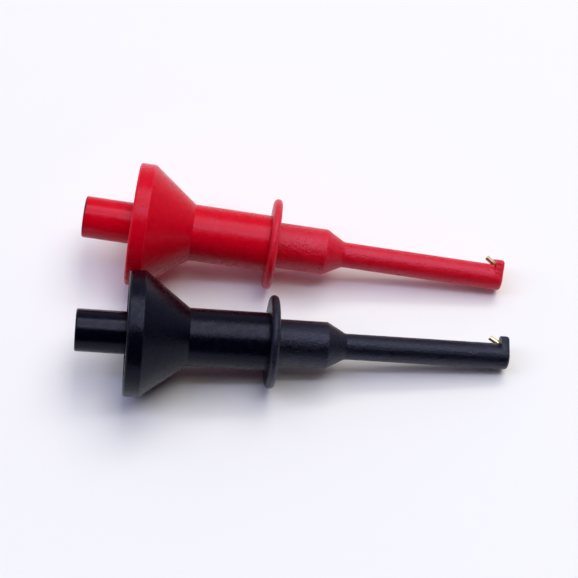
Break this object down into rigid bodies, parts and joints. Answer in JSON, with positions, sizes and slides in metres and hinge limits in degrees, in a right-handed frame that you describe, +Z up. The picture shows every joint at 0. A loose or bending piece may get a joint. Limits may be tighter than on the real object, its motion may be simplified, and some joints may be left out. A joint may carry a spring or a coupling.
{
  "type": "test hook clip pair",
  "caption": "Red and black sprung test-hook clips: a rear sleeve with a 4 mm plug socket slides in a flared bell and pushes a brass hook out past the lip of a thin nose.",
  "frame": {"origin": "bottom centre of the pair's box, on the bench that the clips lie on", "axes": "+X from the sockets to the tips, +Y from the black clip to the red one, +Z up"},
  "size_m": [0.082, 0.0476, 0.0238],
  "materials": {
    "red_plastic": "satin, fine moulded texture",
    "black_plastic": "satin, fine moulded texture",
    "brass": "bright, turned or drawn",
    "steel": "drawn wire or stamped strip"
  },
  "bodies": {
    "clips": {"red_grip": "red_plastic", "red_front_housing": "red_plastic", "red_rod_guide": "brass", "red_return_spring": "steel", "black_grip": "black_plastic", "black_front_housing": "black_plastic", "black_rod_guide": "brass", "black_return_spring": "steel"},
    "red_plunger": {"red_plunger_sleeve": "red_plastic", "red_socket": "brass", "red_lock_ring": "steel", "red_push_rod": "brass", "red_hook_wire": "brass"},
    "black_plunger": {"black_plunger_sleeve": "black_plastic", "black_socket": "brass", "black_lock_ring": "steel", "black_push_rod": "brass", "black_hook_wire": "brass"}
  },
  "joints": [
    {"name": "red_plunger_slide", "type": "slide", "parent": "clips", "child": "red_plunger", "axis": [0.9877, -0.0972, -0.1221], "range_m": [0, 0.007], "stiffness_N_per_m": 690, "springref_m": -0.003, "deforming": ["red_return_spring"]},
    {"name": "black_plunger_slide", "type": "slide", "parent": "clips", "child": "black_plunger", "axis": [0.9925, -0.005, -0.1221], "range_m": [0, 0.007], "stiffness_N_per_m": 690, "springref_m": -0.003, "deforming": ["black_return_spring"]}
  ]
}
